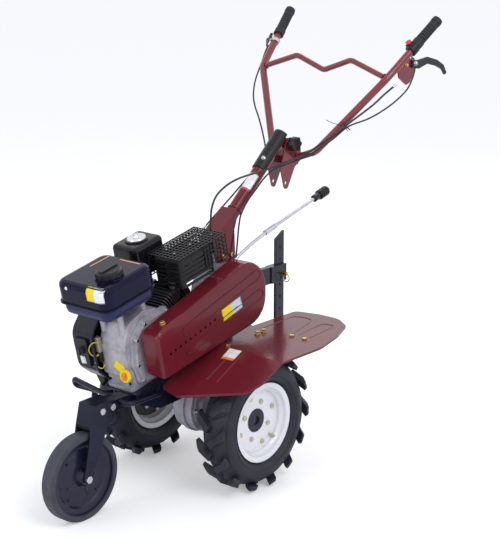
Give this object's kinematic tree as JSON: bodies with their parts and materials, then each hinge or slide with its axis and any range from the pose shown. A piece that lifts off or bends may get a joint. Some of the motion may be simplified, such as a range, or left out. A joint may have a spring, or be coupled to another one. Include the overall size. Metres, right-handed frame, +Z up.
{
  "type": "walk-behind motor tiller",
  "caption": "Petrol motor tiller on lugged wheels: tilted engine, belt cover, gearbox, fenders, handlebar with clutch lever, depth bar and front transport wheel.",
  "frame": {"origin": "on the ground, under the middle of the drive axle", "axes": "+X forward in the direction of travel, +Y to the machine's left, +Z up"},
  "size_m": [1.4617, 0.686, 1.2872],
  "materials": {
    "steel_black": "satin",
    "maroon_paint": "gloss",
    "cast_silver": "satin",
    "cylinder_black": "matte",
    "plastic_black": "satin",
    "muffler_steel": "matte",
    "bright_zinc": "satin",
    "zinc_gold": "satin",
    "rubber": "matte",
    "tyre_rubber": "matte",
    "rim_white": "gloss",
    "hub_black": "satin",
    "red_plastic": "gloss",
    "orange_plastic": "gloss",
    "pulley_iron": "matte",
    "plug_ceramic": "gloss"
  },
  "bodies": {
    "chassis": {"frame": "steel_black", "bumper": "steel_black", "fork": "steel_black", "chassis_bolts": "bright_zinc", "gearbox_left": "cast_silver", "gearbox_right": "cast_silver", "crankcase": "cast_silver", "crankcase_cover": "cast_silver", "cylinder": "cylinder_black", "spark_plug": "plug_ceramic", "fan_housing": "plastic_black", "recoil_cover": "plastic_black", "fuel_tank": "plastic_black", "air_cleaner_base": "plastic_black", "air_cleaner_cover": "plastic_black", "carburettor": "cast_silver", "muffler": "muffler_steel", "muffler_guard": "steel_black", "guard_basket": "steel_black", "belt_backplate": "maroon_paint", "belt_cover": "maroon_paint", "fender_left": "maroon_paint", "fender_right": "maroon_paint", "column": "maroon_paint", "head_cover": "plastic_black", "hitch_bracket": "steel_black", "depth_bar": "steel_black", "drive_belt": "rubber", "oil_plug": "orange_plastic", "switch_box": "plastic_black", "control_cables": "plastic_black"},
    "drive_wheels": {"axle": "hub_black", "wheel_hubs": "hub_black", "rim_left": "rim_white", "rim_right": "rim_white", "tyre_left": "tyre_rubber", "tyre_right": "tyre_rubber", "rim_bolts": "bright_zinc"},
    "front_wheel_body": {"front_wheel": "steel_black", "front_tyre": "rubber"},
    "crankshaft_body": {"crankshaft": "bright_zinc"},
    "input_shaft_body": {"input_shaft": "bright_zinc", "driven_pulley": "pulley_iron"},
    "tension_arm_body": {"tension_arm": "bright_zinc"},
    "idler_body": {"idler_pulley": "pulley_iron"},
    "handlebar_body": {"handlebar": "maroon_paint", "handle_grips": "rubber", "bar_clamps": "plastic_black"},
    "clutch_lever_body": {"clutch_lever": "plastic_black"},
    "throttle_body": {"throttle_lever": "plastic_black"},
    "stop_button_body": {"stop_button": "red_plastic"},
    "clamp_knob_body": {"clamp_knob": "plastic_black"},
    "shift_body": {"shift_rod": "bright_zinc", "shift_grip": "plastic_black"},
    "fuel_cap_body": {"fuel_cap": "plastic_black"},
    "wing_nut_body": {"wing_nut": "bright_zinc"},
    "switch_body": {"switch_knob": "plastic_black"},
    "choke_body": {"choke_lever": "plastic_black"},
    "fuel_valve_body": {"fuel_valve": "red_plastic"},
    "hitch_pin_body": {"hitch_pin": "zinc_gold"}
  },
  "joints": [
    {"name": "drive_axle", "type": "hinge", "parent": "chassis", "child": "drive_wheels", "pos_m": [0, 0, 0.199], "axis": [0, 1, 0], "continuous": true},
    {"name": "front_wheel_spin", "type": "hinge", "parent": "chassis", "child": "front_wheel_body", "pos_m": [0.48, 0, 0.123], "axis": [0, 1, 0], "continuous": true},
    {"name": "crankshaft_spin", "type": "hinge", "parent": "chassis", "child": "crankshaft_body", "pos_m": [0.23, 0.05, 0.443], "axis": [0, 1, 0], "continuous": true},
    {"name": "input_shaft_spin", "type": "hinge", "parent": "chassis", "child": "input_shaft_body", "pos_m": [-0.063, 0, 0.533], "axis": [0, 1, 0], "continuous": true},
    {"name": "clutch_lever_squeeze", "type": "hinge", "parent": "handlebar_body", "child": "clutch_lever_body", "pos_m": [-0.687, 0.252, 1.15], "axis": [0, 1, 0], "range_deg": [0, 20], "stiffness_Nm_per_rad": 1.2, "springref_deg": -20.05},
    {"name": "belt_tension", "type": "hinge", "parent": "chassis", "child": "tension_arm_body", "pos_m": [0.022, 0.06, 0.51], "axis": [0, 1, 0], "range_deg": [0, 6]},
    {"name": "idler_spin", "type": "hinge", "parent": "tension_arm_body", "child": "idler_body", "pos_m": [0.112, 0.084, 0.468], "axis": [0, 1, 0], "continuous": true},
    {"name": "handlebar_height", "type": "hinge", "parent": "chassis", "child": "handlebar_body", "pos_m": [-0.383, 0, 0.921], "axis": [0, 1, 0], "range_deg": [-12, 12], "deforming": ["control_cables"]},
    {"name": "throttle", "type": "hinge", "parent": "handlebar_body", "child": "throttle_body", "pos_m": [-0.65026, -0.27737, 1.18357], "axis": [0.2256, -0.9742, 0], "range_deg": [0, 45]},
    {"name": "stop_press", "type": "slide", "parent": "handlebar_body", "child": "stop_button_body", "axis": [0.6133, -0.142, 0.777], "range_m": [-0.002, 0], "stiffness_N_per_m": 400},
    {"name": "clamp_knob_turn", "type": "hinge", "parent": "handlebar_body", "child": "clamp_knob_body", "pos_m": [-0.383, 0, 0.921], "axis": [0, 1, 0], "continuous": true},
    {"name": "gear_shift", "type": "hinge", "parent": "chassis", "child": "shift_body", "pos_m": [-0.1, 0.03, 0.606], "axis": [0, 1, 0], "range_deg": [-7, 7]},
    {"name": "fuel_cap_turn", "type": "hinge", "parent": "chassis", "child": "fuel_cap_body", "pos_m": [0.35419, 0.003, 0.66129], "axis": [0.2164, 0, 0.9763], "range_deg": [0, 90]},
    {"name": "wing_nut_turn", "type": "hinge", "parent": "chassis", "child": "wing_nut_body", "pos_m": [0.15199, -0.096, 0.71022], "axis": [0.2164, 0, 0.9763], "continuous": true},
    {"name": "engine_switch", "type": "hinge", "parent": "chassis", "child": "switch_body", "pos_m": [0.34498, -0.118, 0.4257], "axis": [0.9763, 0, -0.2164], "range_deg": [0, 50]},
    {"name": "choke", "type": "hinge", "parent": "chassis", "child": "choke_body", "pos_m": [0.11236, -0.1183, 0.56844], "axis": [0, 1, 0], "range_deg": [-30, 0]},
    {"name": "fuel_valve_turn", "type": "hinge", "parent": "chassis", "child": "fuel_valve_body", "pos_m": [0.10911, -0.1183, 0.55379], "axis": [0, 1, 0], "range_deg": [0, 30]},
    {"name": "hitch_pin_draw", "type": "slide", "parent": "chassis", "child": "hitch_pin_body", "axis": [0, 1, 0], "range_m": [0, 0.04]}
  ],
  "couplings": [
    {"joint": "belt_tension", "follows": "clutch_lever_squeeze", "ratio": 0.28}
  ]
}
